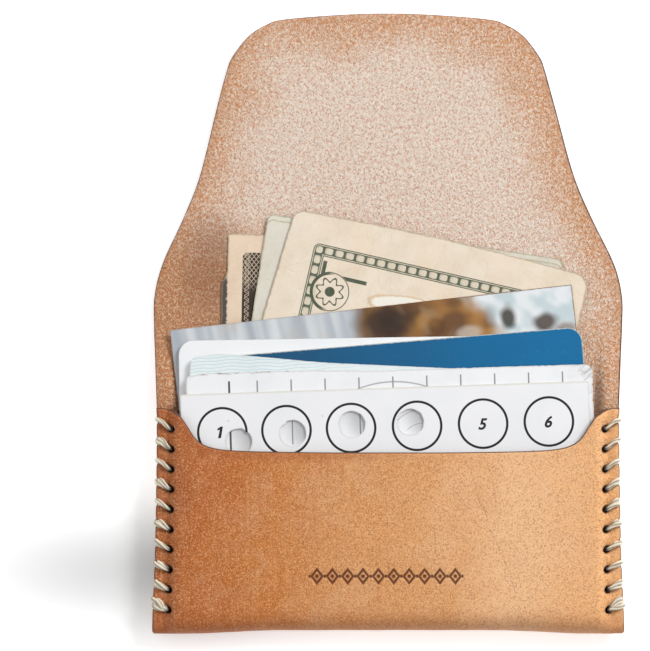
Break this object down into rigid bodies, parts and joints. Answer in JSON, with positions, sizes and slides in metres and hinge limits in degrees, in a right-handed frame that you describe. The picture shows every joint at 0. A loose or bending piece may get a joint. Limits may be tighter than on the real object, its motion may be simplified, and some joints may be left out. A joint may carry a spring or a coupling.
{
  "type": "leather card wallet",
  "caption": "Flat leather flap wallet with whip-stitched sides, laid open and holding cards and folded notes that slide in its pocket.",
  "frame": {"origin": "centre of the object's footprint, on the table under the back panel", "axes": "+X across the wallet to the right as seen from the front, +Y from the bottom fold to the tip of the open flap, +Z out of the front, away from the table"},
  "size_m": [0.1036, 0.1336, 0.0076],
  "materials": {
    "front_panel": "satin",
    "back_panel": "satin",
    "bottom_fold": "satin",
    "crease_lower": "matte",
    "crease_middle": "matte",
    "crease_upper": "matte",
    "flap": "matte",
    "left_lacing": "matte",
    "right_lacing": "matte",
    "back_note": "matte",
    "middle_note": "matte",
    "front_note": "matte",
    "photo_print": "satin",
    "white_card": "satin",
    "blue_card": "satin",
    "ticket": "matte",
    "tick_card": "matte",
    "punch_card": "matte"
  },
  "bodies": {
    "pouch": {"front_panel": "front_panel", "back_panel": "back_panel", "bottom_fold": "bottom_fold", "left_lacing": "left_lacing", "right_lacing": "right_lacing"},
    "crease_lower": {"crease_lower": "crease_lower"},
    "crease_middle": {"crease_middle": "crease_middle"},
    "crease_upper": {"crease_upper": "crease_upper"},
    "flap": {"flap": "flap"},
    "punch_card": {"punch_card": "punch_card"},
    "tick_card": {"tick_card": "tick_card"},
    "ticket": {"ticket": "ticket"},
    "blue_card": {"blue_card": "blue_card"},
    "white_card": {"white_card": "white_card"},
    "photo_print": {"photo_print": "photo_print"},
    "front_note": {"front_note": "front_note"},
    "middle_note": {"middle_note": "middle_note"},
    "back_note": {"back_note": "back_note"}
  },
  "joints": [
    {"name": "crease_line_1", "type": "hinge", "parent": "pouch", "child": "crease_lower", "pos_m": [0, 0.01052, 0.0015], "axis": [1, 0, 0], "range_deg": [0, 45], "deforming": ["front_note", "middle_note", "back_note"]},
    {"name": "crease_line_2", "type": "hinge", "parent": "crease_lower", "child": "crease_middle", "pos_m": [0, 0.01333, 0.0015], "axis": [1, 0, 0], "range_deg": [0, 45]},
    {"name": "crease_line_3", "type": "hinge", "parent": "crease_middle", "child": "crease_upper", "pos_m": [0, 0.01613, 0.0015], "axis": [1, 0, 0], "range_deg": [0, 45]},
    {"name": "flap_fold", "type": "hinge", "parent": "crease_upper", "child": "flap", "pos_m": [0, 0.01893, 0.0015], "axis": [1, 0, 0], "range_deg": [0, 45]},
    {"name": "punch_card_slide", "type": "slide", "parent": "pouch", "child": "punch_card", "axis": [0, -1, 0], "range_m": [-0.045, 0]},
    {"name": "tick_card_slide", "type": "slide", "parent": "pouch", "child": "tick_card", "axis": [0, -1, 0], "range_m": [-0.045, 0.0012]},
    {"name": "ticket_slide", "type": "slide", "parent": "pouch", "child": "ticket", "axis": [0, -1, 0], "range_m": [-0.045, 0.005]},
    {"name": "blue_card_slide", "type": "slide", "parent": "pouch", "child": "blue_card", "axis": [0, -1, 0], "range_m": [-0.045, 0.002]},
    {"name": "white_card_slide", "type": "slide", "parent": "pouch", "child": "white_card", "axis": [0, -1, 0], "range_m": [-0.045, 0.006]},
    {"name": "photo_print_slide", "type": "slide", "parent": "pouch", "child": "photo_print", "axis": [0, -1, 0], "range_m": [-0.045, 0.003]},
    {"name": "front_note_slide", "type": "slide", "parent": "pouch", "child": "front_note", "axis": [0, -1, 0], "range_m": [-0.045, 0.0015]},
    {"name": "middle_note_slide", "type": "slide", "parent": "pouch", "child": "middle_note", "axis": [0, -1, 0], "range_m": [-0.045, 0.003]},
    {"name": "back_note_slide", "type": "slide", "parent": "pouch", "child": "back_note", "axis": [0, -1, 0], "range_m": [-0.045, 0.003]}
  ],
  "couplings": [
    {"joint": "crease_line_2", "follows": "crease_line_1", "ratio": 1},
    {"joint": "crease_line_3", "follows": "crease_line_1", "ratio": 1},
    {"joint": "flap_fold", "follows": "crease_line_1", "ratio": 1}
  ]
}
